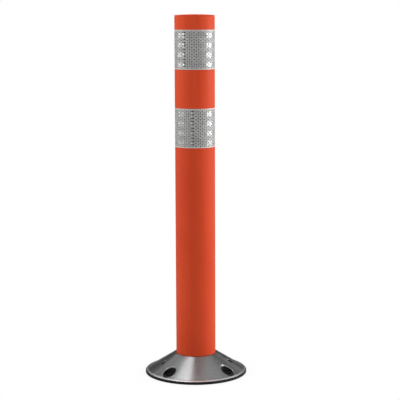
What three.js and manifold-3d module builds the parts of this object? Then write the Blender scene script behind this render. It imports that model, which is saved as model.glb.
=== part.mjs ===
// Flexible tubular delineator post, bolted down through a round base with a conical aluminium cover.
// Millimetres, +Z up, standing on Z = 0 and centred on the Z axis. The front faces -Y.
import * as THREE from "three";
import { mergeVertices } from "three/addons/utils/BufferGeometryUtils.js";
import Module from "manifold-3d";

const wasm = await Module();
wasm.setup();

// Driving dimensions.
const HEIGHT = 715;
const FIT_GAP = 0.3;

const TUBE_RADIUS = 39.5;
const TUBE_WALL = 4;
const TUBE_BORE = TUBE_RADIUS - TUBE_WALL;
const BEND_HEIGHT = 45;
const FLEX_LENGTH = 105;
const FOOT_FLANGE_RADIUS = 46;
const FOOT_FLANGE_THICKNESS = 4.2;

const BAND_HEIGHT = 76.2;
const BAND_PITCH = 152;
const BAND_TOP_MARGIN = 30;
const BAND_RECESS = 0.5;
const BAND_THICKNESS = 0.4;
const BAND_COUNT = 2;

const CAP_DOME_RISE = 1.6;
const CAP_EDGE_HEIGHT = 1.6;
const CAP_EDGE_ROUND = 0.8;
const CAP_SKIRT_DEPTH = 12;
const CAP_SKIRT_WALL = 3.5;

const PAD_RADIUS = 101.6;
const PAD_THICKNESS = 4;
const PAD_BORE = 24;

const PLATE_RADIUS = 93.5;
const PLATE_THICKNESS = 2.5;
const PLATE_BEVEL = 3;

const COVER_RADIUS = 100.6;
const COVER_WALL = 2.2;
const CONE_ANGLE = THREE.MathUtils.degToRad(32.5);
const CONE_HEIGHT_AT_TUBE = 42.1;
const RIM_EDGE_HEIGHT = 0.6;
const RIM_ROUND_WIDTH = 5.6;
const BORE_EDGE_WIDTH = 3.1;
const BORE_EDGE_TOP = 40.4;
const BORE_CLEARANCE = 0.4;
const CORE_GAP = 0.4;

const ANCHOR_COUNT = 4;
const ANCHOR_CIRCLE_RADIUS = 81.5;
const ANCHOR_WELL_RADIUS = 13;
const ANCHOR_HOLE_RADIUS = 8;
const WASHER_RADIUS = 12;
const WASHER_THICKNESS = 2;

const COVER_SCREW_ANGLES = [-76, 76];
const COVER_SCREW_CIRCLE_RADIUS = 68;
const COVER_SCREW_SINK_RADIUS = 5.5;
const COVER_SCREW_SEAT_HEIGHT = 16;
const COVER_SCREW_SEAT_THICKNESS = 2;
const COVER_SCREW_BOSS_RADIUS = 8;
const COVER_SCREW_HEAD_RADIUS = 4.4;
const COVER_SCREW_HEAD_HEIGHT = 3.2;
const COVER_SCREW_LENGTH = 8;

const PLATE_SCREW_COUNT = 4;
const PLATE_SCREW_CIRCLE_RADIUS = 56;
const PLATE_SCREW_HEAD_RADIUS = 4.5;
const PLATE_SCREW_LENGTH = 14;
const SCREW_RADIUS = 2.4;
const SOCKET_RADIUS = 2;
const SOCKET_DEPTH = 1.6;

const PLUG_TOP = 40;
const PLUG_TOP_ROUND = 4;
const PLUG_BOLT_RADIUS = 5;
const PLUG_BOLT_LENGTH = 22;
const PLUG_BOLT_HEAD_RADIUS = 9;
const PLUG_BOLT_HEAD_HEIGHT = 3;

const ROUND_SEGMENTS = 72;
const HOLE_SEGMENTS = 32;
const SCREW_SEGMENTS = 24;

// Heights of the base's layers, worked out from the ground up.
const PLATE_BOTTOM = PAD_THICKNESS + FIT_GAP;
const PLATE_TOP = PLATE_BOTTOM + PLATE_THICKNESS;
const LAYER_ABOVE_PLATE = PLATE_TOP + FIT_GAP;
const WASHER_TOP = LAYER_ABOVE_PLATE + WASHER_THICKNESS;
const FOOT_FLANGE_TOP = LAYER_ABOVE_PLATE + FOOT_FLANGE_THICKNESS;
const CAP_FLANGE_BOTTOM = HEIGHT - CAP_DOME_RISE - CAP_EDGE_HEIGHT;
const TUBE_TOP = CAP_FLANGE_BOTTOM - FIT_GAP;
const FLEX_TOP = BEND_HEIGHT + FLEX_LENGTH;
const CONE_SLOPE = Math.tan(CONE_ANGLE);
const COVER_BORE = TUBE_RADIUS + BORE_CLEARANCE;

const materials = {
  orangePlastic: new THREE.MeshStandardMaterial({ color: 0xe04a24, roughness: 0.45, metalness: 0 }),
  reflectiveSheeting: new THREE.MeshStandardMaterial({ color: 0xc9cac8, roughness: 0.3, metalness: 0.2 }),
  turnedAluminium: new THREE.MeshStandardMaterial({ color: 0xb9bbbd, roughness: 0.35, metalness: 1 }),
  blackRubber: new THREE.MeshStandardMaterial({ color: 0x121212, roughness: 0.85, metalness: 0 }),
  blackPlastic: new THREE.MeshStandardMaterial({ color: 0x17181a, roughness: 0.6, metalness: 0 }),
  blackSteel: new THREE.MeshStandardMaterial({ color: 0x1d1e20, roughness: 0.5, metalness: 0.8 }),
  zincSteel: new THREE.MeshStandardMaterial({ color: 0x9a9da1, roughness: 0.4, metalness: 1 }),
};

// A closed three.js geometry as a manifold-3d solid.
function solidFrom(geometry) {
  geometry.deleteAttribute("normal");
  geometry.deleteAttribute("uv");
  const merged = mergeVertices(geometry, 1e-4);
  const index = merged.index.array;
  const triangles = [];
  for (let i = 0; i < index.length; i += 3) {
    const [a, b, c] = index.slice(i, i + 3);
    if (a !== b && b !== c && c !== a) triangles.push(a, b, c);
  }
  const surface = new wasm.Mesh({
    numProp: 3,
    vertProperties: merged.attributes.position.array,
    triVerts: new Uint32Array(triangles),
  });
  return new wasm.Manifold(surface);
}

// A solid of revolution about Z. The [radius, height] points run up the outside, from axis to axis.
function revolve(outline, segments = ROUND_SEGMENTS) {
  const points = outline.map(([radius, height]) => new THREE.Vector2(radius, height));
  const geometry = new THREE.LatheGeometry(points, segments);
  geometry.rotateX(Math.PI / 2);
  return solidFrom(geometry);
}

// A ring about Z. Its points run up the outside and down the inside, and the outline closes itself.
function ring(outline) {
  return revolve([...outline, outline[0]]);
}

// An upright cylinder, or a cone with a different top radius, that stands at a place on the plan.
function post(place, radius, bottom, top, segments = HOLE_SEGMENTS, topRadius = radius) {
  const geometry = new THREE.CylinderGeometry(topRadius, radius, top - bottom, segments);
  geometry.rotateX(Math.PI / 2);
  geometry.translate(place.x, place.y, (bottom + top) / 2);
  return solidFrom(geometry);
}

// A smooth bend between two outline points.
function bend(from, control, to, steps) {
  const [start, middle, end] = [from, control, to].map(([x, y]) => new THREE.Vector2(x, y));
  const curve = new THREE.QuadraticBezierCurve(start, middle, end);
  return curve.getPoints(steps).map((point) => [point.x, point.y]);
}

// A place on the plan, by its radius and its angle from the front towards +X.
function polar(radius, degrees) {
  const angle = THREE.MathUtils.degToRad(degrees);
  return new THREE.Vector3(radius * Math.sin(angle), -radius * Math.cos(angle), 0);
}

// Evenly spaced places on a circle.
function circleOf(count, radius, firstDegrees) {
  return Array.from({ length: count }, (_, i) => polar(radius, firstDegrees + (i * 360) / count));
}

function unite(solids) {
  return solids.reduce((sum, solid) => sum.add(solid));
}

// Height of the cover's outer cone at a radius.
function coneHeight(radius) {
  return CONE_HEIGHT_AT_TUBE - (radius - TUBE_RADIUS) * CONE_SLOPE;
}

// Height of a surface that runs under the cone, at a distance measured square to it.
function underCone(radius, depth) {
  return coneHeight(radius) - depth / Math.cos(CONE_ANGLE);
}

// Radius at which a surface under the cone comes down to a height.
function underConeRadius(height, depth) {
  return TUBE_RADIUS + (CONE_HEIGHT_AT_TUBE - depth / Math.cos(CONE_ANGLE) - height) / CONE_SLOPE;
}

const centre = new THREE.Vector3();
const anchorPlaces = circleOf(ANCHOR_COUNT, ANCHOR_CIRCLE_RADIUS, 45);
const plateScrewPlaces = circleOf(PLATE_SCREW_COUNT, PLATE_SCREW_CIRCLE_RADIUS, 0);
const coverScrewPlaces = COVER_SCREW_ANGLES.map((angle) => polar(COVER_SCREW_CIRCLE_RADIUS, angle));

// Rubber pad between the base and the road, open in the middle for the head of the plug bolt.
function groundPad() {
  const disc = ring([
    [PAD_RADIUS, 0],
    [PAD_RADIUS, PAD_THICKNESS],
    [PAD_BORE, PAD_THICKNESS],
    [PAD_BORE, 0],
  ]);
  const holes = anchorPlaces.map((place) => post(place, ANCHOR_HOLE_RADIUS, -1, PAD_THICKNESS + 1));
  return disc.subtract(unite(holes));
}

// Steel disc that closes the underside and takes the pull of the anchor bolts.
function basePlate() {
  const disc = revolve([
    [0, PLATE_BOTTOM],
    [PLATE_RADIUS, PLATE_BOTTOM],
    [PLATE_RADIUS - PLATE_BEVEL, PLATE_TOP],
    [0, PLATE_TOP],
  ]);
  const anchorHoles = anchorPlaces.map((place) => post(place, ANCHOR_HOLE_RADIUS, 0, LAYER_ABOVE_PLATE));
  const countersinks = plateScrewPlaces.map((place) =>
    post(
      place,
      PLATE_SCREW_HEAD_RADIUS + FIT_GAP,
      PLATE_BOTTOM,
      PLATE_TOP,
      SCREW_SEGMENTS,
      SCREW_RADIUS + FIT_GAP,
    ),
  );
  const boltHole = post(centre, PLUG_BOLT_RADIUS + FIT_GAP, 0, LAYER_ABOVE_PLATE);
  return disc.subtract(unite([...anchorHoles, ...countersinks, boltHole]));
}

// Moulded body under the cover: the socket for the tube's foot, the anchor wells and the screw pilots.
function baseCore() {
  const depth = COVER_WALL + CORE_GAP;
  const flangePocket = FOOT_FLANGE_RADIUS + BORE_CLEARANCE;
  const shoulder = FOOT_FLANGE_TOP + FIT_GAP;
  const body = ring([
    [underConeRadius(LAYER_ABOVE_PLATE, depth), LAYER_ABOVE_PLATE],
    [COVER_BORE, underCone(COVER_BORE, depth)],
    [COVER_BORE, shoulder],
    [flangePocket, shoulder],
    [flangePocket, LAYER_ABOVE_PLATE],
  ]);
  const wellFloor = WASHER_TOP + FIT_GAP;
  const wells = anchorPlaces.flatMap((place) => [
    post(place, WASHER_RADIUS + FIT_GAP, 0, wellFloor),
    post(place, ANCHOR_WELL_RADIUS, wellFloor, CONE_HEIGHT_AT_TUBE),
  ]);
  const pilots = plateScrewPlaces.map((place) =>
    post(place, SCREW_RADIUS + FIT_GAP, 0, PLATE_BOTTOM + PLATE_SCREW_LENGTH + FIT_GAP, SCREW_SEGMENTS),
  );
  const bossBottom = COVER_SCREW_SEAT_HEIGHT - COVER_SCREW_SEAT_THICKNESS;
  const coverScrewTip = COVER_SCREW_SEAT_HEIGHT - COVER_SCREW_LENGTH;
  const pockets = coverScrewPlaces.flatMap((place) => [
    post(place, COVER_SCREW_BOSS_RADIUS + CORE_GAP, bossBottom - FIT_GAP, CONE_HEIGHT_AT_TUBE),
    post(place, SCREW_RADIUS + FIT_GAP, coverScrewTip - FIT_GAP, CONE_HEIGHT_AT_TUBE, SCREW_SEGMENTS),
  ]);
  return body.subtract(unite([...wells, ...pilots, ...pockets]));
}

// Aluminium cover: a straight cone with a rounded rim and a rounded edge round the tube.
function baseCover() {
  const rimStart = COVER_RADIUS - RIM_ROUND_WIDTH;
  const rimEdgeTop = PLATE_BOTTOM + RIM_EDGE_HEIGHT;
  const edgeStart = COVER_BORE + BORE_EDGE_WIDTH;
  const edgeCrest = TUBE_RADIUS + (CONE_HEIGHT_AT_TUBE - BORE_EDGE_TOP) / CONE_SLOPE;
  const rim = bend(
    [COVER_RADIUS, rimEdgeTop],
    [COVER_RADIUS - RIM_ROUND_WIDTH * 0.15, coneHeight(rimStart) - 0.4],
    [rimStart, coneHeight(rimStart)],
    5,
  );
  const edge = bend(
    [edgeStart, coneHeight(edgeStart)],
    [edgeCrest, BORE_EDGE_TOP],
    [COVER_BORE + 0.9, BORE_EDGE_TOP],
    4,
  );
  const outside = revolve([
    [0, PLATE_BOTTOM],
    [COVER_RADIUS, PLATE_BOTTOM],
    ...rim,
    ...edge,
    [0, BORE_EDGE_TOP],
  ]);
  const inside = revolve([
    [0, 0],
    [underConeRadius(0, COVER_WALL), 0],
    [COVER_BORE, underCone(COVER_BORE, COVER_WALL)],
    [COVER_BORE, HEIGHT],
    [0, HEIGHT],
  ]);
  const bossBottom = COVER_SCREW_SEAT_HEIGHT - COVER_SCREW_SEAT_THICKNESS;
  const bosses = coverScrewPlaces.map((place) =>
    post(place, COVER_SCREW_BOSS_RADIUS, bossBottom, CONE_HEIGHT_AT_TUBE),
  );
  const sinks = coverScrewPlaces.flatMap((place) => [
    post(place, COVER_SCREW_SINK_RADIUS, COVER_SCREW_SEAT_HEIGHT, CONE_HEIGHT_AT_TUBE),
    post(place, SCREW_RADIUS + FIT_GAP, 0, CONE_HEIGHT_AT_TUBE, SCREW_SEGMENTS),
  ]);
  const wells = anchorPlaces.map((place) => post(place, ANCHOR_WELL_RADIUS, 0, CONE_HEIGHT_AT_TUBE));
  const shell = outside.subtract(inside);
  return shell.add(unite(bosses).intersect(outside)).subtract(unite([...sinks, ...wells]));
}

// Load washer at the bottom of an anchor well, drawn about its own centre.
function anchorWasher() {
  const disc = post(centre, WASHER_RADIUS, 0, WASHER_THICKNESS);
  return disc.subtract(post(centre, ANCHOR_HOLE_RADIUS, -1, WASHER_THICKNESS + 1));
}

function hexSocket(bottom, top) {
  return post(centre, SOCKET_RADIUS, bottom, top, 6);
}

// Cap screw that holds the cover to the core. Z = 0 is the underside of its head.
function coverScrew() {
  const headTop = COVER_SCREW_HEAD_HEIGHT;
  const head = post(centre, COVER_SCREW_HEAD_RADIUS, 0, headTop, SCREW_SEGMENTS);
  const shank = post(centre, SCREW_RADIUS, -COVER_SCREW_LENGTH, headTop / 2, SCREW_SEGMENTS);
  return head.add(shank).subtract(hexSocket(headTop - SOCKET_DEPTH, headTop + 1));
}

// Countersunk screw driven up through the base plate. Z = 0 is the flat of its head.
function plateScrew() {
  const neck = PLATE_THICKNESS;
  const body = revolve(
    [
      [0, 0],
      [PLATE_SCREW_HEAD_RADIUS, 0],
      [SCREW_RADIUS, neck],
      [SCREW_RADIUS, PLATE_SCREW_LENGTH - SCREW_RADIUS],
      [0, PLATE_SCREW_LENGTH],
    ],
    SCREW_SEGMENTS,
  );
  return body.subtract(hexSocket(-1, SOCKET_DEPTH));
}

// Plug that keeps the tube's foot round and clamps it into the socket.
function footPlug() {
  const radius = TUBE_BORE - BORE_CLEARANCE;
  const shoulder = bend(
    [radius, PLUG_TOP - PLUG_TOP_ROUND],
    [radius, PLUG_TOP],
    [radius - PLUG_TOP_ROUND, PLUG_TOP],
    4,
  );
  const body = revolve([[0, LAYER_ABOVE_PLATE], [radius, LAYER_ABOVE_PLATE], ...shoulder, [0, PLUG_TOP]]);
  const boltHole = post(centre, PLUG_BOLT_RADIUS + FIT_GAP, 0, PLATE_BOTTOM + PLUG_BOLT_LENGTH);
  return body.subtract(boltHole);
}

// Bolt from below that pulls the plug down onto the base plate.
function plugBolt() {
  const headTop = PLATE_BOTTOM - FIT_GAP;
  const tip = PLATE_BOTTOM + PLUG_BOLT_LENGTH - FIT_GAP;
  const head = post(centre, PLUG_BOLT_HEAD_RADIUS, headTop - PLUG_BOLT_HEAD_HEIGHT, headTop, 6);
  return head.add(post(centre, PLUG_BOLT_RADIUS, headTop - PLUG_BOLT_HEAD_HEIGHT / 2, tip));
}

// Lowest stretch of the tube, fixed in the socket by the flange at its end.
function tubeFoot() {
  return ring([
    [FOOT_FLANGE_RADIUS, LAYER_ABOVE_PLATE],
    [FOOT_FLANGE_RADIUS, FOOT_FLANGE_TOP],
    [TUBE_RADIUS, FOOT_FLANGE_TOP],
    [TUBE_RADIUS, BEND_HEIGHT - FIT_GAP / 2],
    [TUBE_BORE, BEND_HEIGHT - FIT_GAP / 2],
    [TUBE_BORE, LAYER_ABOVE_PLATE],
  ]);
}

// Stretch of the tube that kinks when the post is knocked over.
function tubeFlexZone() {
  const bottom = BEND_HEIGHT + FIT_GAP / 2;
  const top = FLEX_TOP - FIT_GAP / 2;
  return ring([
    [TUBE_RADIUS, bottom],
    [TUBE_RADIUS, top],
    [TUBE_BORE, top],
    [TUBE_BORE, bottom],
  ]);
}

// Height of the top of a band, counted from the upper one.
function bandTop(index) {
  return HEIGHT - BAND_TOP_MARGIN - index * BAND_PITCH;
}

// Straight stretch of the tube, with a shallow recess under each band.
function tubeUpper() {
  const outside = [[TUBE_RADIUS, FLEX_TOP + FIT_GAP / 2]];
  for (let i = BAND_COUNT - 1; i >= 0; i -= 1) {
    const top = bandTop(i) + FIT_GAP;
    const bottom = bandTop(i) - BAND_HEIGHT - FIT_GAP;
    outside.push([TUBE_RADIUS, bottom], [TUBE_RADIUS - BAND_RECESS, bottom]);
    outside.push([TUBE_RADIUS - BAND_RECESS, top], [TUBE_RADIUS, top]);
  }
  outside.push([TUBE_RADIUS, TUBE_TOP]);
  return ring([...outside, [TUBE_BORE, TUBE_TOP], [TUBE_BORE, FLEX_TOP + FIT_GAP / 2]]);
}

// Band of retroreflective sheeting wrapped round the tube.
function reflectiveBand(index) {
  const inner = TUBE_RADIUS - BAND_RECESS + FIT_GAP;
  const outer = inner + BAND_THICKNESS;
  const top = bandTop(index);
  return ring([
    [outer, top - BAND_HEIGHT],
    [outer, top],
    [inner, top],
    [inner, top - BAND_HEIGHT],
  ]);
}

// Push-in cap with a slightly domed top.
function topCap() {
  const edgeTop = CAP_FLANGE_BOTTOM + CAP_EDGE_HEIGHT;
  const skirtRadius = TUBE_BORE - BORE_CLEARANCE;
  const skirtBore = skirtRadius - CAP_SKIRT_WALL;
  const skirtBottom = CAP_FLANGE_BOTTOM - CAP_SKIRT_DEPTH;
  const domeEdge = TUBE_RADIUS - CAP_EDGE_ROUND;
  const edge = bend(
    [TUBE_RADIUS, edgeTop - CAP_EDGE_ROUND],
    [TUBE_RADIUS, edgeTop],
    [domeEdge, edgeTop],
    3,
  );
  const dome = bend([domeEdge, edgeTop], [domeEdge / 2, HEIGHT], [0, HEIGHT], 5);
  return revolve([
    [0, CAP_FLANGE_BOTTOM],
    [skirtBore, CAP_FLANGE_BOTTOM],
    [skirtBore, skirtBottom],
    [skirtRadius, skirtBottom],
    [skirtRadius, CAP_FLANGE_BOTTOM],
    [TUBE_RADIUS, CAP_FLANGE_BOTTOM],
    ...edge,
    ...dome.slice(1),
  ]);
}

// A solid as a named mesh.
function meshOf(name, solid, material) {
  const { vertProperties, triVerts } = solid.getMesh();
  const geometry = new THREE.BufferGeometry();
  geometry.setAttribute("position", new THREE.BufferAttribute(vertProperties, 3));
  geometry.setIndex(new THREE.BufferAttribute(triVerts, 1));
  geometry.computeVertexNormals();
  const mesh = new THREE.Mesh(geometry, material.clone());
  mesh.name = name;
  return mesh;
}

// One mesh at each place, all from the same solid.
function repeat(name, solid, material, places, height) {
  return places.map((place, i) => {
    const mesh = meshOf(`${name}_${i + 1}`, solid, material);
    mesh.position.set(place.x, place.y, height);
    return mesh;
  });
}

const base = new THREE.Group();
base.add(
  meshOf("ground_pad", groundPad(), materials.blackRubber),
  meshOf("base_plate", basePlate(), materials.blackSteel),
  meshOf("base_core", baseCore(), materials.blackPlastic),
  meshOf("base_cover", baseCover(), materials.turnedAluminium),
  meshOf("foot_plug", footPlug(), materials.blackPlastic),
  meshOf("plug_bolt", plugBolt(), materials.zincSteel),
  meshOf("tube_foot", tubeFoot(), materials.orangePlastic),
  ...repeat("anchor_washer", anchorWasher(), materials.blackSteel, anchorPlaces, LAYER_ABOVE_PLATE),
  ...repeat(
    "cover_screw",
    coverScrew(),
    materials.blackSteel,
    coverScrewPlaces,
    COVER_SCREW_SEAT_HEIGHT + FIT_GAP,
  ),
  ...repeat("plate_screw", plateScrew(), materials.zincSteel, plateScrewPlaces, PLATE_BOTTOM + 0.1),
);

const upright = new THREE.Group();
upright.add(
  meshOf("tube_flex_zone", tubeFlexZone(), materials.orangePlastic),
  meshOf("tube_upper", tubeUpper(), materials.orangePlastic),
  meshOf("top_cap", topCap(), materials.orangePlastic),
  meshOf("band_upper", reflectiveBand(0), materials.reflectiveSheeting),
  meshOf("band_lower", reflectiveBand(1), materials.reflectiveSheeting),
);

const group = new THREE.Group();
group.add(base, upright);

export default group;
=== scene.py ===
"""Looks of the flexible delineator post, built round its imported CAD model.

Metres, +Z up, front towards -Y. Angles on the plan run from the front towards +X.
"""

import math

import bmesh
import bpy
from mathutils import Matrix, Vector


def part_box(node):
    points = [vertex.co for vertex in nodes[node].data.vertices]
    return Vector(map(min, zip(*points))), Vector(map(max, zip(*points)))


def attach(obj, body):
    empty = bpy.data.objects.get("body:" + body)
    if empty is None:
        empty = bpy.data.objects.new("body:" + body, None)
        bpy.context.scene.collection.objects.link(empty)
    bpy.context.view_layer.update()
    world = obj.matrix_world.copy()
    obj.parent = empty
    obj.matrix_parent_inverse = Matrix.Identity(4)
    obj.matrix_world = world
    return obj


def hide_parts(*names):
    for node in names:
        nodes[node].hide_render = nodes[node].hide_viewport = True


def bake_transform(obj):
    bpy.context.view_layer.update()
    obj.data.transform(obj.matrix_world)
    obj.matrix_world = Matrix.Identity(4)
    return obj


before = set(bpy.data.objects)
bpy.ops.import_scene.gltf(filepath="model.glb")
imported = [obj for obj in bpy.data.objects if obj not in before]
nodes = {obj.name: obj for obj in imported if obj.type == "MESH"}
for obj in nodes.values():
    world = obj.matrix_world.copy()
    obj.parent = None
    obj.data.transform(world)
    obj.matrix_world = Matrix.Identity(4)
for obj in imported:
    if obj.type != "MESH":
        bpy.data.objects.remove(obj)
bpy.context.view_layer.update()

MM = 0.001
FULL_TURN = 2 * math.pi

# Sizes that the CAD boxes don't give.
FIT_GAP = 0.3 * MM

TUBE_WALL = 4 * MM
FLEX_START = 45 * MM
FLEX_END = 150 * MM
FLEX_RING_STEP = 3 * MM
FOOT_FLANGE_THICKNESS = 4.2 * MM
TUBE_EDGE_ROUND = 0.5 * MM

BAND_RECESS = 0.5 * MM
RING_BESIDE_BAND = 20 * MM
SHEET_THICKNESS = 0.34 * MM
SHEET_GAP = 0.05 * MM
SHEET_OVERLAP = 6 * MM
SHEET_LIFT_LENGTH = 5 * MM
SHEET_BORDER = 1.4 * MM
SHEET_BORDER_FADE = 0.5 * MM
SEAM_ANGLES = {"upper": -36.7, "lower": -12.8}
SEAM_DOT_WIDTH = 2.2 * MM
SEAM_DOT_FADE = 0.4 * MM
CELL_WIDTH = 8.9 * MM
CELL_HEIGHT = 6.5 * MM
BRIGHT_ROW_PITCH = 18.8 * MM

CAP_EDGE_HEIGHT = 1.6 * MM
CAP_EDGE_ROUND = 0.9 * MM
CAP_SKIRT_WALL = 3.5 * MM
CAP_CLEARANCE = 0.4 * MM

CONE_ANGLE = math.radians(32.5)
CONE_SLOPE = math.tan(CONE_ANGLE)
CONE_HEIGHT_AT_TUBE = 42.1 * MM
CONE_RING_STEP = 4 * MM
RINGS_BESIDE_RIM = (0.8 * MM, 3 * MM)
RINGS_BESIDE_BORE_EDGE = (0.6 * MM, 2 * MM)
COVER_WALL = 2.2 * MM
COVER_BORE_CLEARANCE = 0.4 * MM
RIM_EDGE_HEIGHT = 0.6 * MM
RIM_ROUND_WIDTH = 5.6 * MM
RIM_CREST_SHARE = 0.15
RIM_CREST_DROP = 0.4 * MM
# Heights of the painted highlight along the cover's rim and of the painted shade line under it.
PAINTED_RIM_HIGHLIGHT_HEIGHTS = (6.2 * MM, 7.2 * MM)
PAINTED_RIM_SHADE_HEIGHTS = (5.2 * MM, 5.8 * MM)
BORE_EDGE_WIDTH = 3.1 * MM
BORE_EDGE_TOP = 40.4 * MM
BORE_EDGE_FLAT = 0.9 * MM
BORE_EDGE_ROUND = 0.4 * MM

OVERSHOOT = 1 * MM
CUTTER_TOP = CONE_HEIGHT_AT_TUBE + 5 * MM
CUTTER_MOUTH_RISE = 0.02 * MM

ANCHOR_CIRCLE_RADIUS = 81.5 * MM
ANCHOR_ANGLES = (45, 135, 225, 315)
ANCHOR_WELL_RADIUS = 13 * MM
ANCHOR_HOLE_RADIUS = 8 * MM
WELL_LIP = 1.1 * MM
# The fade of the painted highlight round each well's mouth.
PAINTED_WELL_HIGHLIGHT_FADE = 0.3 * MM

SCREW_CIRCLE_RADIUS = 68 * MM
SCREW_ANGLES = (-76, 76)
SCREW_SINK_RADIUS = 5.5 * MM
SCREW_SEAT_HEIGHT = 16 * MM
SCREW_SEAT_THICKNESS = 2 * MM
SCREW_BOSS_RADIUS = 8 * MM
SCREW_BOSS_DEPTH = 1.1 * MM
SCREW_HOLE_RADIUS = 2.7 * MM
SCREW_RADIUS = 2.4 * MM
SCREW_TIP_BEVEL = 0.5 * MM
SCREW_HEAD_ROUND = 0.6 * MM
SCREW_SOCKET_RADIUS = 2 * MM
SCREW_SOCKET_DEPTH = 1.6 * MM
SINK_LIP = 0.5 * MM

PAD_BORE = 24 * MM
PAD_EDGE_ROUND = 0.6 * MM
PAD_RING_INSET = 3 * MM
PAD_RING_STEP = 20 * MM
WASHER_EDGE = 0.35 * MM

TUBE_SEGMENTS = 144
COVER_SEGMENTS = 192
HOLE_SEGMENTS = 64
SCREW_SEGMENTS = 40
SHARP_ANGLE = math.radians(27)

CAMERA_AZIMUTH = -4.8
CAMERA_DISTANCE = 2.471
CAMERA_HEIGHT = 0.703
CAMERA_PAN = -0.217
CAMERA_TILT = 8.142
CAMERA_ROLL = -0.217
CAMERA_LENS = 113.0
CAMERA_REACH = 200
SENSOR_WIDTH = 36

LAMP_DISTANCE = 2.0
LAMP_HEIGHT = 0.7
HIGH_LAMP_HEIGHT = 1.7
LAMP_WIDTH = 0.4
WIDE_LAMP_WIDTH = 1.0
LAMP_LENGTH = 0.9
LAMP_AIM = (0, 0, 0.35)
STRIP_WIDTH = 0.2
STRIP_LENGTH = 0.7
STRIP_AIM = (0, 0, 0)

# Strength of the surroundings by the height they are seen at: -1 straight down, 0 level, 1 overhead.
WORLD_LEVELS = ((-1.0, 0.54), (-0.1, 0.54), (0.15, 0.01), (0.4, 0.28), (0.65, 0.16), (0.85, 1.05))

FLOOR_SIZE = 60
FLOOR_SHADE_REACH = 0.06
FLOOR_SHADE_DARKEST = 0.72


# ---------------------------------------------------------------------------
# Meshes
# ---------------------------------------------------------------------------


def polar(radius, degrees, height=0.0):
    """A point at a radius and an angle from the front towards +X."""
    angle = math.radians(degrees)
    return Vector((radius * math.sin(angle), -radius * math.cos(angle), height))


def spread(start, end, step):
    """Evenly spaced values from start to end, both included, no further apart than step."""
    count = max(1, math.ceil(abs(end - start) / step))
    return [start + (end - start) * i / count for i in range(count + 1)]


def bend(start, control, end, steps):
    """Points on a quadratic curve between two outline points."""
    points = []
    for i in range(steps + 1):
        t = i / steps
        weights = ((1 - t) ** 2, 2 * t * (1 - t), t**2)
        x, y = (sum(w * p[k] for w, p in zip(weights, (start, control, end))) for k in (0, 1))
        points.append((x, y))
    return points


def piece_from(name, work, sharp=SHARP_ANGLE):
    """An object from a bmesh, smooth but for its sharp edges."""
    mesh = bpy.data.meshes.new(name)
    work.to_mesh(mesh)
    work.free()
    piece = bpy.data.objects.new(name, mesh)
    bpy.context.scene.collection.objects.link(piece)
    shade(piece, sharp)
    return piece


def shade(piece, sharp=SHARP_ANGLE):
    """Smooth shading, with the edges over the sharp angle left crisp."""
    mesh = piece.data
    mesh.polygons.foreach_set("use_smooth", [True] * len(mesh.polygons))
    mesh.set_sharp_from_angle(angle=sharp)
    mesh.update()


def lathe(name, outline, segments, place=(0, 0, 0), sharp=SHARP_ANGLE):
    """A closed body of revolution.

    The (radius, height) outline runs up the outside and down the inside. The UV map is in metres:
    round the body at its widest, and along the outline.
    """
    work = bmesh.new()
    layer = work.loops.layers.uv.new("metres")
    widest = max(radius for radius, _ in outline)
    rings = []
    lengths = [0.0]
    for k, (radius, height) in enumerate(outline):
        if radius < 1e-9:
            rings.append([work.verts.new((0, 0, height))] * segments)
        else:
            spots = [polar(radius, 360 * i / segments, height) for i in range(segments)]
            rings.append([work.verts.new(spot) for spot in spots])
        lengths.append(lengths[-1] + math.dist(outline[k], outline[(k + 1) % len(outline)]))
    for k in range(len(rings)):
        lower, upper = rings[k], rings[(k + 1) % len(rings)]
        if lower[0] is lower[1] and upper[0] is upper[1]:
            continue
        for i in range(segments):
            j = (i + 1) % segments
            corners = [
                (lower[i], i, lengths[k]),
                (lower[j], i + 1, lengths[k]),
                (upper[j], i + 1, lengths[k + 1]),
                (upper[i], i, lengths[k + 1]),
            ]
            corners = [c for n, c in enumerate(corners) if c[0] is not corners[n - 1][0]]
            face = work.faces.new([vertex for vertex, _, _ in corners])
            for loop, (_, turn, along) in zip(face.loops, corners):
                loop[layer].uv = (FULL_TURN * widest * turn / segments, along)
    work.transform(Matrix.Translation(place))
    return piece_from(name, work, sharp)


def column(name, place, levels, segments=HOLE_SEGMENTS):
    """An upright plug that cuts a hole or adds a boss.

    Each level is (radius, height). A height may be a function of a point on the plan.
    """
    work = bmesh.new()
    rings = []
    for radius, height in levels:
        ring = []
        for i in range(segments):
            angle = FULL_TURN * i / segments
            point = Vector((place.x + radius * math.cos(angle), place.y + radius * math.sin(angle), 0))
            point.z = height(point) if callable(height) else height
            ring.append(work.verts.new(point))
        rings.append(ring)
    for lower, upper in zip(rings, rings[1:]):
        for i in range(segments):
            j = (i + 1) % segments
            work.faces.new((lower[i], lower[j], upper[j], upper[i]))
    for ring, flip in ((rings[0], True), (rings[-1], False)):
        centre = work.verts.new(sum((vertex.co for vertex in ring), Vector()) / segments)
        for i in range(segments):
            pair = (ring[i], ring[(i + 1) % segments])
            work.faces.new((*(reversed(pair) if flip else pair), centre))
    return piece_from(name, work)


def combine(piece, tools, operation, sharp=SHARP_ANGLE):
    """Applies an exact boolean with each tool, which is then removed."""
    for tool in tools:
        modifier = piece.modifiers.new(operation.lower(), "BOOLEAN")
        modifier.operation = operation
        modifier.solver = "EXACT"
        modifier.object = tool
    bpy.context.view_layer.update()
    evaluated = piece.evaluated_get(bpy.context.evaluated_depsgraph_get())
    mesh = bpy.data.meshes.new_from_object(evaluated)
    piece.modifiers.clear()
    old = piece.data
    piece.data = mesh
    bpy.data.meshes.remove(old)
    mesh.name = piece.name
    for tool in tools:
        bpy.data.meshes.remove(tool.data)
    shade(piece, sharp)


def dress(piece, material, slot, body, *replaced):
    """Gives a finished piece its material, its body and the CAD nodes it stands for."""
    piece.data.materials.clear()
    piece.data.materials.append(material)
    if replaced:
        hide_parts(*replaced)
    if body:
        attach(piece, body)


# ---------------------------------------------------------------------------
# Pieces
# ---------------------------------------------------------------------------


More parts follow.
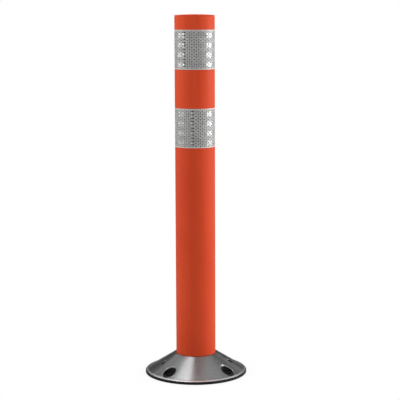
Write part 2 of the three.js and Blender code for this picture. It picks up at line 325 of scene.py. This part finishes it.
def band_recesses():
    """(bottom, top) of the recess under each band, from the lower one up."""
    spans = []
    for node in ("band_lower", "band_upper"):
        low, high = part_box(node)
        spans.append((low.z - FIT_GAP, high.z + FIT_GAP))
    return spans


def make_tube():
    """The whole tube in one moulding, with the flange at its foot and a recess under each band."""
    foot_low, foot_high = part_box("tube_foot")
    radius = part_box("tube_flex_zone")[1].x
    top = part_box("tube_upper")[1].z
    bore = radius - TUBE_WALL
    bottom = foot_low.z
    flange_top = bottom + FOOT_FLANGE_THICKNESS
    flex = spread(FLEX_START - 2 * FLEX_RING_STEP, FLEX_END + 2 * FLEX_RING_STEP, FLEX_RING_STEP)
    outline = [(foot_high.x, bottom), (foot_high.x, flange_top), (radius, flange_top)]
    outline += [(radius, height) for height in flex]
    for low, high in band_recesses():
        outline += [(radius, low - RING_BESIDE_BAND), (radius, low)]
        outline += [(radius - BAND_RECESS, low), (radius - BAND_RECESS, high)]
        outline += [(radius, high), (radius, high + RING_BESIDE_BAND)]
    outline += bend((radius, top - TUBE_EDGE_ROUND), (radius, top), (radius - TUBE_EDGE_ROUND, top), 3)
    outline += [(bore, top), (bore, (top + FLEX_END) / 2)]
    outline += [(bore, height) for height in reversed(flex)]
    outline.append((bore, bottom))
    return lathe("post_tube", outline, TUBE_SEGMENTS)


def sheet_turn():
    """Length of sheeting that goes once round the recess in the tube."""
    return FULL_TURN * (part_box("tube_flex_zone")[1].x - BAND_RECESS + SHEET_GAP)


def make_band(name, node, seam_degrees):
    """A strip of sheeting wrapped once round the tube, its end lapped over its start up to the seam."""
    low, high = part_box(node)
    turn = sheet_turn()
    radius = turn / FULL_TURN
    lift = SHEET_THICKNESS + SHEET_GAP
    work = bmesh.new()
    layer = work.loops.layers.uv.new("metres")
    rings = []
    for along in spread(0, turn + SHEET_OVERLAP, turn / TUBE_SEGMENTS):
        rise = (along - turn + SHEET_LIFT_LENGTH) / SHEET_LIFT_LENGTH
        rise = min(max(rise, 0.0), 1.0)
        inner = radius + lift * rise * rise * (3 - 2 * rise)
        outer = inner + SHEET_THICKNESS
        degrees = seam_degrees + 360 * (along - SHEET_OVERLAP) / turn
        section = [(outer, low.z), (outer, high.z), (inner, high.z), (inner, low.z)]
        rings.append(([work.verts.new(polar(r, degrees, z)) for r, z in section], along))
    heights = (0.0, high.z - low.z, high.z - low.z, 0.0)
    for (start, u0), (end, u1) in zip(rings, rings[1:]):
        for k in range(4):
            m = (k + 1) % 4
            face = work.faces.new((start[k], end[k], end[m], start[m]))
            uvs = ((u0, heights[k]), (u1, heights[k]), (u1, heights[m]), (u0, heights[m]))
            for loop, uv in zip(face.loops, uvs):
                loop[layer].uv = uv
    work.faces.new(rings[0][0])
    work.faces.new(list(reversed(rings[-1][0])))
    return piece_from(name, work)


def make_cap():
    """Push-in cap: a hollow skirt, a rounded edge and a low dome."""
    low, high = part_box("top_cap")
    radius = high.x
    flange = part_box("tube_upper")[1].z + FIT_GAP
    skirt = radius - TUBE_WALL - CAP_CLEARANCE
    edge_top = flange + CAP_EDGE_HEIGHT
    shoulder = radius - CAP_EDGE_ROUND
    outline = [
        (0, flange),
        (skirt - CAP_SKIRT_WALL, flange),
        (skirt - CAP_SKIRT_WALL, low.z),
        (skirt, low.z),
        (skirt, flange),
        (radius, flange),
    ]
    outline += bend((radius, edge_top - CAP_EDGE_ROUND), (radius, edge_top), (shoulder, edge_top), 6)
    outline += bend((shoulder, edge_top), (shoulder / 2, high.z), (0, high.z), 14)[1:]
    return lathe("post_cap", outline, TUBE_SEGMENTS)


def cone_height(radius):
    """Height of the cover's outer cone at a radius."""
    return CONE_HEIGHT_AT_TUBE - (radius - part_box("tube_flex_zone")[1].x) * CONE_SLOPE


def flared(radius, bottom, lip):
    """Levels of a hole's cutter whose mouth rounds outwards where it meets the cone."""
    levels = [(radius, bottom)]
    for degrees in (0, 30, 60, 90):
        angle = math.radians(degrees)
        drop = lip * (1 - math.sin(angle)) - CUTTER_MOUTH_RISE
        levels.append((radius + lip * (1 - math.cos(angle)), lambda p, d=drop: cone_height(p.length) - d))
    levels.append((radius + lip, CUTTER_TOP))
    return levels


def cover_outline():
    """The cover's section: rounded rim, cone, rounded edge round the tube, and the underside."""
    low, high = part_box("base_cover")
    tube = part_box("tube_flex_zone")[1].x
    bore = tube + COVER_BORE_CLEARANCE
    rim_start = high.x - RIM_ROUND_WIDTH
    edge_start = bore + BORE_EDGE_WIDTH
    edge_crest = tube + (CONE_HEIGHT_AT_TUBE - BORE_EDGE_TOP) / CONE_SLOPE
    under = COVER_WALL / math.cos(CONE_ANGLE)
    inner_foot = tube + (CONE_HEIGHT_AT_TUBE - under - low.z) / CONE_SLOPE
    outline = [(high.x, low.z)]
    outline += bend(
        (high.x, low.z + RIM_EDGE_HEIGHT),
        (high.x - RIM_ROUND_WIDTH * RIM_CREST_SHARE, cone_height(rim_start) - RIM_CREST_DROP),
        (rim_start, cone_height(rim_start)),
        12,
    )
    near_rim, past_rim = (rim_start - inset for inset in RINGS_BESIDE_RIM)
    near_edge, past_edge = (edge_start + inset for inset in RINGS_BESIDE_BORE_EDGE)
    cone = [near_rim, *spread(past_rim, past_edge, CONE_RING_STEP), near_edge]
    outline += [(r, cone_height(r)) for r in cone]
    outline += bend(
        (edge_start, cone_height(edge_start)),
        (edge_crest, BORE_EDGE_TOP),
        (bore + BORE_EDGE_FLAT, BORE_EDGE_TOP),
        8,
    )
    outline += bend(
        (bore + BORE_EDGE_ROUND, BORE_EDGE_TOP),
        (bore, BORE_EDGE_TOP),
        (bore, BORE_EDGE_TOP - BORE_EDGE_ROUND),
        3,
    )
    outline += [(r, cone_height(r) - under) for r in spread(bore, inner_foot, 3 * CONE_RING_STEP)]
    return outline


def make_cover():
    """The aluminium cover, with its screw bosses, anchor wells, screw recesses and screw holes."""
    cover = lathe("cone_cover", cover_outline(), COVER_SEGMENTS)
    screws = [polar(SCREW_CIRCLE_RADIUS, angle) for angle in SCREW_ANGLES]
    anchors = [polar(ANCHOR_CIRCLE_RADIUS, angle) for angle in ANCHOR_ANGLES]
    boss_bottom = SCREW_SEAT_HEIGHT - SCREW_SEAT_THICKNESS

    def boss_top(point):
        return cone_height(point.length) - SCREW_BOSS_DEPTH

    boss = [(SCREW_BOSS_RADIUS, boss_bottom), (SCREW_BOSS_RADIUS, boss_top)]
    combine(cover, [column("boss", place, boss) for place in screws], "UNION")
    well = flared(ANCHOR_WELL_RADIUS, 0.0, WELL_LIP)
    cutters = [column("well", place, well) for place in anchors]
    sink = flared(SCREW_SINK_RADIUS, SCREW_SEAT_HEIGHT, SINK_LIP)
    cutters += [column("sink", place, sink) for place in screws]
    hole = [(SCREW_HOLE_RADIUS, 0.0), (SCREW_HOLE_RADIUS, SCREW_SEAT_HEIGHT + OVERSHOOT)]
    cutters += [column("hole", place, hole, SCREW_SEGMENTS) for place in screws]
    combine(cover, cutters, "DIFFERENCE")
    return cover


def make_pad():
    """Rubber pad under the base, open in the middle, with the four anchor holes."""
    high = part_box("ground_pad")[1]
    round_off = PAD_EDGE_ROUND
    outline = bend((high.x - round_off, 0), (high.x, 0), (high.x, round_off), 3)
    outline += bend((high.x, high.z - round_off), (high.x, high.z), (high.x - round_off, high.z), 3)
    outline += [(r, high.z) for r in spread(high.x - PAD_RING_INSET, PAD_BORE, PAD_RING_STEP)]
    outline += [(r, 0) for r in spread(PAD_BORE, high.x - PAD_RING_INSET, PAD_RING_STEP)]
    pad = lathe("rubber_pad", outline, COVER_SEGMENTS)
    levels = [(ANCHOR_HOLE_RADIUS, -OVERSHOOT), (ANCHOR_HOLE_RADIUS, high.z + OVERSHOOT)]
    holes = [column("hole", polar(ANCHOR_CIRCLE_RADIUS, angle), levels) for angle in ANCHOR_ANGLES]
    combine(pad, holes, "DIFFERENCE")
    return pad


def make_washer(number):
    """Load washer with broken edges, at the bottom of an anchor well."""
    low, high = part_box(f"anchor_washer_{number}")
    centre = (low + high) / 2
    radius = (high.x - low.x) / 2
    thick = high.z - low.z
    outline = [
        (radius - WASHER_EDGE, 0),
        (radius, WASHER_EDGE),
        (radius, thick - WASHER_EDGE),
        (radius - WASHER_EDGE, thick),
        (ANCHOR_HOLE_RADIUS + WASHER_EDGE, thick),
        (ANCHOR_HOLE_RADIUS, thick - WASHER_EDGE),
        (ANCHOR_HOLE_RADIUS, WASHER_EDGE),
        (ANCHOR_HOLE_RADIUS + WASHER_EDGE, 0),
    ]
    return lathe(f"load_washer_{number}", outline, HOLE_SEGMENTS, (centre.x, centre.y, low.z))


def make_cover_screw(number):
    """Cap screw with a hexagon socket."""
    low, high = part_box(f"cover_screw_{number}")
    centre = (low + high) / 2
    radius = (high.x - low.x) / 2
    seat = SCREW_SEAT_HEIGHT + FIT_GAP - low.z
    top = high.z - low.z
    outline = [
        (0, 0),
        (SCREW_RADIUS - SCREW_TIP_BEVEL, 0),
        (SCREW_RADIUS, SCREW_TIP_BEVEL),
        (SCREW_RADIUS, seat),
        (radius, seat),
    ]
    outline += bend((radius, top - SCREW_HEAD_ROUND), (radius, top), (radius - SCREW_HEAD_ROUND, top), 4)
    outline.append((0, top))
    place = Vector((centre.x, centre.y, low.z))
    screw = lathe(f"cap_screw_{number}", outline, SCREW_SEGMENTS, place)
    socket_bottom = high.z - SCREW_SOCKET_DEPTH
    levels = [(SCREW_SOCKET_RADIUS, socket_bottom), (SCREW_SOCKET_RADIUS, high.z + OVERSHOOT)]
    combine(screw, [column("socket", place, levels, 6)], "DIFFERENCE")
    return screw


# ---------------------------------------------------------------------------
# Materials
# ---------------------------------------------------------------------------


class Surface:
    """A Principled material under construction."""

    def __init__(self, name, **constants):
        self.material = bpy.data.materials.new(name)
        self.material.use_nodes = True
        self.tree = self.material.node_tree
        self.shader = self.tree.nodes["Principled BSDF"]
        for socket, value in constants.items():
            self.shader.inputs[socket.replace("_", " ")].default_value = value

    def node(self, kind, *inputs, **settings):
        """A new node with its first inputs set or linked."""
        made = self.tree.nodes.new("ShaderNode" + kind)
        for name, value in settings.items():
            setattr(made, name, value)
        for socket, value in zip(made.inputs, inputs):
            if value is not None:
                self.feed(socket, value)
        return made

    def feed(self, socket, value):
        if isinstance(value, bpy.types.NodeSocket):
            self.tree.links.new(value, socket)
        else:
            socket.default_value = value

    def math(self, operation, *values):
        return self.node("Math", *values, operation=operation).outputs[0]

    def length(self, x, y):
        """Distance of a point on the plan from the origin."""
        squares = self.math("ADD", self.math("MULTIPLY", x, x), self.math("MULTIPLY", y, y))
        return self.math("SQRT", squares)

    def axes(self, vector):
        return self.node("SeparateXYZ", vector).outputs[:3]

    def vector(self, x=0.0, y=0.0, z=0.0):
        return self.node("CombineXYZ", x, y, z).outputs[0]

    def place(self):
        """Position in the piece's own frame, in metres."""
        return self.node("TexCoord").outputs["Object"]

    def metres(self):
        """Position on the piece's surface, in metres."""
        return self.node("UVMap", uv_map="metres").outputs[0]

    def stretched(self, vector, scale):
        return self.node("VectorMath", vector, scale, operation="MULTIPLY").outputs[0]

    def noise(self, vector, scale, detail=3.0, roughness=0.5):
        made = self.node("TexNoise")
        self.feed(made.inputs["Vector"], vector)
        for name, value in (("Scale", scale), ("Detail", detail), ("Roughness", roughness)):
            made.inputs[name].default_value = value
        return made.outputs["Fac"]

    def cells(self, vector):
        """One random value for each whole-numbered cell."""
        return self.node("TexWhiteNoise", vector, noise_dimensions="3D").outputs["Value"]

    def fit(self, value, low, high, to_low, to_high, smooth=False):
        """A value from one range carried to another, and held inside it."""
        kind = "SMOOTHSTEP" if smooth else "LINEAR"
        made = self.node("MapRange", value, low, high, to_low, to_high, interpolation_type=kind)
        return made.outputs[0]

    def vary(self, noise, low, high):
        """The middle of a noise's spread carried to a range."""
        return self.fit(noise, 0.3, 0.7, low, high)

    def above(self, value, start, full):
        """0 up to start, rising smoothly to 1 at full."""
        return self.fit(value, start, full, 0.0, 1.0, smooth=True)

    def below(self, value, full, end):
        """1 up to full, falling smoothly to 0 at end."""
        return self.fit(value, full, end, 1.0, 0.0, smooth=True)

    def blend(self, factor, first, second):
        made = self.node("Mix", data_type="RGBA")
        for name, value in (("Factor_Float", factor), ("A_Color", first), ("B_Color", second)):
            socket = next(s for s in made.inputs if s.identifier == name)
            self.feed(socket, (*value, 1.0) if isinstance(value, tuple) else value)
        return next(s for s in made.outputs if s.identifier == "Result_Color")

    def bump(self, height, depth, strength):
        made = self.node("Bump")
        made.inputs["Strength"].default_value = strength
        made.inputs["Distance"].default_value = depth
        self.feed(made.inputs["Height"], height)
        return made.outputs[0]

    def wear(self, **sockets):
        """Links the varying inputs of the shader, and hands the material over."""
        for name, value in sockets.items():
            self.feed(self.shader.inputs[name.replace("_", " ")], value)
        return self.material


def orange_plastic():
    """Moulded polyurethane: draw lines along the tube, cloudy pigment, fine pitting and light scuffs."""
    s = Surface("orange plastic", IOR=1.46, Specular_IOR_Level=0.11)
    where = s.metres()
    clouds = s.noise(where, 9.0, 3.0)
    streaks = s.noise(s.stretched(where, (90.0, 2.2, 90.0)), 1.0, 4.0, 0.6)
    grain = s.noise(where, 700.0, 2.0, 0.6)
    scuffs = s.above(s.noise(s.stretched(where, (260.0, 34.0, 260.0)), 1.0, 5.0, 0.7), 0.64, 0.74)
    base = s.blend(s.vary(clouds, 0.0, 1.0), (0.85, 0.084, 0.026), (0.93, 0.103, 0.034))
    base = s.blend(s.fit(streaks, 0.35, 0.7, 0.0, 0.35), base, (0.77, 0.073, 0.023))
    base = s.blend(s.math("MULTIPLY", scuffs, 0.16), base, (0.90, 0.24, 0.13))
    rough = s.math("ADD", s.vary(clouds, 0.46, 0.54), s.vary(grain, -0.03, 0.05))
    rough = s.math("ADD", rough, s.math("MULTIPLY", scuffs, 0.16))
    relief = s.math("ADD", s.math("MULTIPLY", grain, 0.5), s.math("MULTIPLY", streaks, 0.8))
    return s.wear(Base_Color=base, Roughness=rough, Normal=s.bump(relief, 0.05 * MM, 0.5))


def line_distance(s, value):
    """0.5 where the value is whole, and 0 midway between."""
    return s.math("ABSOLUTE", s.math("SUBTRACT", s.math("FRACT", value), 0.5))


def painted_seam_light(s, u, rows, bright_row):
    """Cells cut through at the seam: a painted highlight on those of the lapped end, a painted shadow on
    those of the sheet beside it.
    """
    end = sheet_turn() + SHEET_OVERLAP - SEAM_DOT_WIDTH
    half_row = line_distance(s, rows)
    on_lap = s.fit(u, end - SEAM_DOT_FADE, end, 0.0, 1.0)
    past_lap = s.math("GREATER_THAN", u, SHEET_OVERLAP)
    beside_lap = s.math("MULTIPLY", past_lap, s.math("LESS_THAN", u, SHEET_OVERLAP + SEAM_DOT_WIDTH))
    # pale is the painted highlight on the lapped end, dark the painted shadow on the sheet beside it.
    pale = s.math("MULTIPLY", on_lap, s.below(half_row, 0.20, 0.30))
    dark = s.math("MULTIPLY", beside_lap, s.above(half_row, 0.24, 0.34))
    return s.math("MULTIPLY", pale, bright_row), dark


def reflective_sheeting():
    """Prismatic sheeting: diamond cells between raised seals, some rows mirror-like, plain edges."""
    low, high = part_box("band_upper")
    s = Surface("prismatic sheeting", IOR=1.5, Metallic=0.35, Coat_Weight=0.04, Coat_Roughness=0.16)
    where = s.metres()
    u, v, _ = s.axes(where)
    columns = s.math("DIVIDE", u, CELL_WIDTH)
    rows = s.math("DIVIDE", v, CELL_HEIGHT)
    diagonals = (s.math("ADD", columns, rows), s.math("SUBTRACT", columns, rows))
    distances = [line_distance(s, diagonal) for diagonal in diagonals]
    seal = s.above(s.math("MAXIMUM", *distances), 0.34, 0.44)
    knot = s.above(s.math("MINIMUM", *distances), 0.24, 0.34)
    tile = s.cells(s.vector(*(s.math("FLOOR", diagonal) for diagonal in diagonals)))
    quarters = (s.math("MULTIPLY", diagonal, 4.0) for diagonal in diagonals)
    prisms = s.cells(s.vector(*(s.math("FLOOR", quarter) for quarter in quarters)))
    bright_row = s.below(line_distance(s, s.math("DIVIDE", v, BRIGHT_ROW_PITCH)), 0.22, 0.27)
    to_edge = s.math("MINIMUM", v, s.math("SUBTRACT", high.z - low.z, v))
    border = s.below(to_edge, SHEET_BORDER, SHEET_BORDER + SHEET_BORDER_FADE)
    painted_seam_highlight, painted_seam_shadow = painted_seam_light(s, u, rows, bright_row)
    cloud = s.noise(where, 60.0, 3.0)
    base = s.blend(tile, (0.44, 0.44, 0.43), (0.62, 0.62, 0.61))
    base = s.blend(s.math("MULTIPLY", prisms, 0.3), base, (0.30, 0.30, 0.295))
    base = s.blend(s.math("MULTIPLY", seal, 0.7), base, (0.80, 0.80, 0.78))
    base = s.blend(knot, base, (0.02, 0.02, 0.02))
    base = s.blend(s.fit(cloud, 0.35, 0.7, 0.0, 0.25), base, (0.42, 0.42, 0.41))
    # Painted shadow beside the seam's lapped end, then the painted highlight on the end itself.
    base = s.blend(painted_seam_shadow, base, (0.03, 0.03, 0.03))
    base = s.blend(painted_seam_highlight, base, (0.97, 0.97, 0.96))
    base = s.blend(s.math("MULTIPLY", border, 0.85), base, (0.80, 0.80, 0.79))
    mirror = s.math("MULTIPLY", bright_row, s.math("SUBTRACT", 1.0, s.math("MAXIMUM", seal, border)))
    rough = s.math("ADD", s.fit(mirror, 0.0, 1.0, 0.62, 0.18), s.math("MULTIPLY", tile, 0.06))
    relief = s.math("ADD", seal, s.math("MULTIPLY", prisms, 0.12))
    return s.wear(Base_Color=base, Roughness=rough, Normal=s.bump(relief, 0.06 * MM, 0.6))


def tool_marks(s, radius, z, scale, detail, roughness):
    """Noise that is the same all the way round, as a lathe leaves it."""
    section = s.vector(s.math("MULTIPLY", radius, scale), s.math("MULTIPLY", z, scale))
    return s.noise(section, 1.0, detail, roughness)


def painted_edge_light(s, x, y, z):
    """Masks of the painted highlight along the rim, the painted shade line under it and the painted
    highlights round the mouths of the wells.
    """
    offset = ANCHOR_CIRCLE_RADIUS * math.sin(math.radians(ANCHOR_ANGLES[0]))
    from_well = s.length(*(s.math("SUBTRACT", s.math("ABSOLUTE", way), offset) for way in (x, y)))
    mouth = ANCHOR_WELL_RADIUS + WELL_LIP
    well = s.below(from_well, mouth - PAINTED_WELL_HIGHLIGHT_FADE, mouth + PAINTED_WELL_HIGHLIGHT_FADE)
    return s.below(z, *PAINTED_RIM_HIGHLIGHT_HEIGHTS), s.below(z, *PAINTED_RIM_SHADE_HEIGHTS), well


def turned_aluminium():
    """Bare turned aluminium: tool marks, cloudy oxide, scratches and specks, with painted highlights on
    the rim and the well mouths and a painted shade line under the rim.
    """
    s = Surface("turned aluminium", Metallic=1.0, Anisotropic=0.75, Anisotropic_Rotation=0.25)
    where = s.place()
    x, y, z = s.axes(where)
    radius = s.length(x, y)
    coarse = tool_marks(s, radius, z, 420.0, 3.0, 0.7)
    fine = tool_marks(s, radius, z, 2600.0, 2.0, 0.6)
    cloud = s.noise(where, 38.0, 4.0, 0.6)
    specks = s.above(s.noise(where, 420.0, 2.0), 0.68, 0.74)
    scratches = s.above(s.noise(s.stretched(where, (900.0, 60.0, 400.0)), 1.0, 3.0, 0.7), 0.66, 0.72)
    # rim and well are painted highlights; the second mask is a painted shade line under the rim.
    rim, painted_rim_shade, well = painted_edge_light(s, x, y, z)
    base = s.blend(s.vary(cloud, 0.0, 1.0), (0.205, 0.209, 0.213), (0.270, 0.272, 0.275))
    base = s.blend(s.fit(coarse, 0.35, 0.65, 0.0, 0.3), base, (0.165, 0.167, 0.170))
    base = s.blend(s.math("MULTIPLY", specks, 0.5), base, (0.08, 0.08, 0.08))
    # Painted highlights round the well mouths and along the rim, and a painted shade line under the rim.
    base = s.blend(s.math("MULTIPLY", well, 0.3), base, (0.72, 0.72, 0.72))
    base = s.blend(rim, base, (0.74, 0.74, 0.74))
    base = s.blend(painted_rim_shade, base, (0.05, 0.05, 0.05))
    rough = s.math("ADD", s.vary(cloud, 0.27, 0.36), s.vary(fine, -0.02, 0.04))
    rough = s.math("ADD", rough, s.math("MULTIPLY", scratches, 0.08))
    rough = s.math("ADD", rough, s.math("MULTIPLY", rim, 0.12))
    relief = s.math("ADD", s.math("MULTIPLY", coarse, 0.5), s.math("MULTIPLY", fine, 0.35))
    bump = s.bump(relief, 0.04 * MM, 0.35)
    tangent = s.node("Tangent", direction_type="RADIAL", axis="Z").outputs[0]
    return s.wear(Base_Color=base, Roughness=rough, Normal=bump, Tangent=tangent)


def black_rubber():
    """Matt rubber with moulding grain and dust on it."""
    s = Surface("black rubber", Specular_IOR_Level=0.3)
    where = s.place()
    grain = s.noise(where, 1100.0, 3.0, 0.6)
    dust = s.fit(s.noise(where, 55.0, 5.0, 0.7), 0.45, 0.75, 0.0, 0.35)
    base = s.blend(dust, (0.010, 0.010, 0.011), (0.045, 0.043, 0.040))
    rough = s.vary(grain, 0.70, 0.88)
    return s.wear(Base_Color=base, Roughness=rough, Normal=s.bump(grain, 0.12 * MM, 0.6))


def black_plastic():
    """Moulded black plastic with a fine spark texture."""
    s = Surface("black moulded plastic", Specular_IOR_Level=0.35)
    where = s.place()
    grain = s.noise(where, 900.0, 2.0, 0.5)
    cloud = s.noise(where, 40.0, 3.0)
    base = s.blend(s.vary(cloud, 0.0, 1.0), (0.009, 0.009, 0.010), (0.020, 0.020, 0.022))
    rough = s.math("ADD", s.vary(cloud, 0.50, 0.62), s.vary(grain, -0.05, 0.05))
    return s.wear(Base_Color=base, Roughness=rough, Normal=s.bump(grain, 0.06 * MM, 0.5))


def coated_steel(name, dark, light, worn, metallic, roughness):
    """Steel under a thin coating that is rubbed bright where it's worn."""
    s = Surface(name, Metallic=metallic)
    where = s.place()
    cloud = s.noise(where, 120.0, 4.0, 0.6)
    grain = s.noise(where, 1500.0, 3.0, 0.6)
    rubbed = s.fit(s.noise(where, 260.0, 5.0, 0.7), 0.6, 0.7, 0.0, 0.6, smooth=True)
    base = s.blend(s.vary(cloud, 0.0, 1.0), dark, light)
    base = s.blend(rubbed, base, worn)
    rough = s.vary(cloud, roughness - 0.05, roughness + 0.08)
    rough = s.math("ADD", rough, s.math("MULTIPLY", rubbed, -0.08))
    return s.wear(Base_Color=base, Roughness=rough, Normal=s.bump(grain, 0.03 * MM, 0.5))


def floor_white():
    """A pale floor that glows evenly, with a painted contact shadow right beside what stands on it."""
    material = bpy.data.materials.new("pale floor")
    material.use_nodes = True
    tree = material.node_tree
    tree.nodes.clear()
    # Ambient occlusion paints the contact shadow beside what stands on the floor.
    near = tree.nodes.new("ShaderNodeAmbientOcclusion")
    near.inputs["Distance"].default_value = FLOOR_SHADE_REACH
    near.samples = 16
    shade_of = tree.nodes.new("ShaderNodeMapRange")
    shade_of.inputs["To Min"].default_value = FLOOR_SHADE_DARKEST
    shade_of.inputs["To Max"].default_value = 1.0
    glow = tree.nodes.new("ShaderNodeEmission")
    out = tree.nodes.new("ShaderNodeOutputMaterial")
    tree.links.new(near.outputs["AO"], shade_of.inputs["Value"])
    tree.links.new(shade_of.outputs[0], glow.inputs["Strength"])
    tree.links.new(glow.outputs[0], out.inputs[0])
    return material


# ---------------------------------------------------------------------------
# Studio
# ---------------------------------------------------------------------------


def make_camera():
    """A long lens in front of the object. Pan, tilt and roll start from a level look at its axis."""
    data = bpy.data.cameras.new("camera")
    data.lens = CAMERA_LENS
    data.sensor_width = SENSOR_WIDTH
    data.clip_end = CAMERA_REACH
    camera = bpy.data.objects.new("camera", data)
    camera.location = polar(CAMERA_DISTANCE, CAMERA_AZIMUTH, CAMERA_HEIGHT)
    turn = Matrix.Rotation(math.radians(CAMERA_AZIMUTH + CAMERA_PAN), 4, "Z")
    tilt = Matrix.Rotation(math.radians(90 - CAMERA_TILT), 4, "X")
    roll = Matrix.Rotation(math.radians(CAMERA_ROLL), 4, "Z")
    camera.rotation_euler = (turn @ tilt @ roll).to_euler()
    bpy.context.scene.collection.objects.link(camera)
    bpy.context.scene.camera = camera


def softbox(name, place, aim, width, length, power):
    """A rectangular lamp that the camera doesn't see. Its length stands upright where it can."""
    data = bpy.data.lights.new(name, "AREA")
    data.shape = "RECTANGLE"
    data.size = width
    data.size_y = length
    data.energy = power
    lamp = bpy.data.objects.new(name, data)
    lamp.location = place
    lamp.rotation_euler = (Vector(aim) - Vector(place)).to_track_quat("-Z", "Y").to_euler()
    lamp.visible_camera = False
    bpy.context.scene.collection.objects.link(lamp)


def make_lights():
    """Softboxes beside the object, at angles round it from the camera, and two strips over its foot."""

    def beside(name, degrees, power, height=LAMP_HEIGHT, width=LAMP_WIDTH):
        place = polar(LAMP_DISTANCE, CAMERA_AZIMUTH + degrees, height)
        softbox(name, place, LAMP_AIM, width, LAMP_LENGTH, power)

    def overhead(name, place, power):
        softbox(name, place, STRIP_AIM, STRIP_WIDTH, STRIP_LENGTH, power)

    beside("right softbox", 101, 16.0)
    beside("right front softbox", 80, 9.5)
    beside("left softbox", -101, 4.8)
    beside("left front softbox", -75, 4.2, width=WIDE_LAMP_WIDTH)
    beside("rear left softbox", -150, 2.3, height=HIGH_LAMP_HEIGHT)
    beside("rear right softbox", 150, 0.6)
    overhead("overhead rear strip", (-0.5, 0.2, 1.9), 5.0)
    overhead("overhead front strip", (-0.6, -0.5, 1.9), 4.9)


def make_world():
    """White to the camera. To all else a bright ceiling and floor, with a dark band between them."""
    world = bpy.data.worlds.new("studio")
    world.use_nodes = True
    bpy.context.scene.world = world
    tree = world.node_tree
    tree.nodes.clear()
    place = tree.nodes.new("ShaderNodeTexCoord")
    axes = tree.nodes.new("ShaderNodeSeparateXYZ")
    share = tree.nodes.new("ShaderNodeMapRange")
    share.inputs["From Min"].default_value = -1.0
    level = tree.nodes.new("ShaderNodeValToRGB")
    while len(level.color_ramp.elements) < len(WORLD_LEVELS):
        level.color_ramp.elements.new(0.5)
    for stop, (height, strength) in zip(level.color_ramp.elements, WORLD_LEVELS):
        stop.position = (height + 1) / 2
        stop.color = (strength, strength, strength, 1)
    dim = tree.nodes.new("ShaderNodeBackground")
    white = tree.nodes.new("ShaderNodeBackground")
    white.inputs["Color"].default_value = (1, 1, 1, 1)
    rays = tree.nodes.new("ShaderNodeLightPath")
    mix = tree.nodes.new("ShaderNodeMixShader")
    out = tree.nodes.new("ShaderNodeOutputWorld")
    tree.links.new(place.outputs["Generated"], axes.inputs[0])
    tree.links.new(axes.outputs["Z"], share.inputs["Value"])
    tree.links.new(share.outputs[0], level.inputs[0])
    tree.links.new(level.outputs[0], dim.inputs["Strength"])
    dim.inputs["Color"].default_value = (1, 1, 1, 1)
    tree.links.new(rays.outputs["Is Camera Ray"], mix.inputs[0])
    tree.links.new(dim.outputs[0], mix.inputs[1])
    tree.links.new(white.outputs[0], mix.inputs[2])
    tree.links.new(mix.outputs[0], out.inputs[0])


def make_floor():
    """A floor that shows to the camera and takes no part in the lighting of the object."""
    work = bmesh.new()
    bmesh.ops.create_grid(work, x_segments=8, y_segments=8, size=FLOOR_SIZE)
    floor = piece_from("floor", work)
    floor.data.materials.append(floor_white())
    for ray in ("diffuse", "glossy", "transmission", "shadow"):
        setattr(floor, "visible_" + ray, False)


# ---------------------------------------------------------------------------
# Assembly
# ---------------------------------------------------------------------------

make_camera()
make_world()
make_floor()
make_lights()
bpy.context.scene.view_settings.view_transform = "Standard"

orange = orange_plastic()
sheeting = reflective_sheeting()
aluminium = turned_aluminium()
rubber = black_rubber()
plastic = black_plastic()
black_steel = coated_steel(
    "black steel",
    dark=(0.012, 0.012, 0.013),
    light=(0.030, 0.030, 0.032),
    worn=(0.12, 0.12, 0.12),
    metallic=0.4,
    roughness=0.42,
)
zinc = coated_steel(
    "zinc-plated steel",
    dark=(0.42, 0.43, 0.44),
    light=(0.60, 0.61, 0.62),
    worn=(0.72, 0.72, 0.71),
    metallic=1.0,
    roughness=0.34,
)

tube = make_tube()
dress(tube, orange, "orange_plastic", None, "tube_foot", "tube_flex_zone", "tube_upper")
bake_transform(tube)
dress(make_cap(), orange, "orange_plastic", "post", "top_cap")
for level, seam_angle in SEAM_ANGLES.items():
    band = make_band(f"sheeting_{level}", f"band_{level}", seam_angle)
    dress(band, sheeting, "reflective_sheeting", "post", f"band_{level}")
dress(make_cover(), aluminium, "turned_aluminium", "base", "base_cover")
dress(make_pad(), rubber, "black_rubber", "base", "ground_pad")
for number in range(1, len(ANCHOR_ANGLES) + 1):
    dress(make_washer(number), black_steel, "black_steel", "base", f"anchor_washer_{number}")
for number in range(1, len(SCREW_ANGLES) + 1):
    dress(make_cover_screw(number), black_steel, "black_steel", "base", f"cover_screw_{number}")

carried_over = {
    "base_plate": black_steel,
    "base_core": plastic,
    "foot_plug": plastic,
    "plug_bolt": zinc,
}
carried_over.update({node: zinc for node in nodes if node.startswith("plate_screw_")})
for node, material in carried_over.items():
    for slot in nodes[node].material_slots:
        slot.material = material
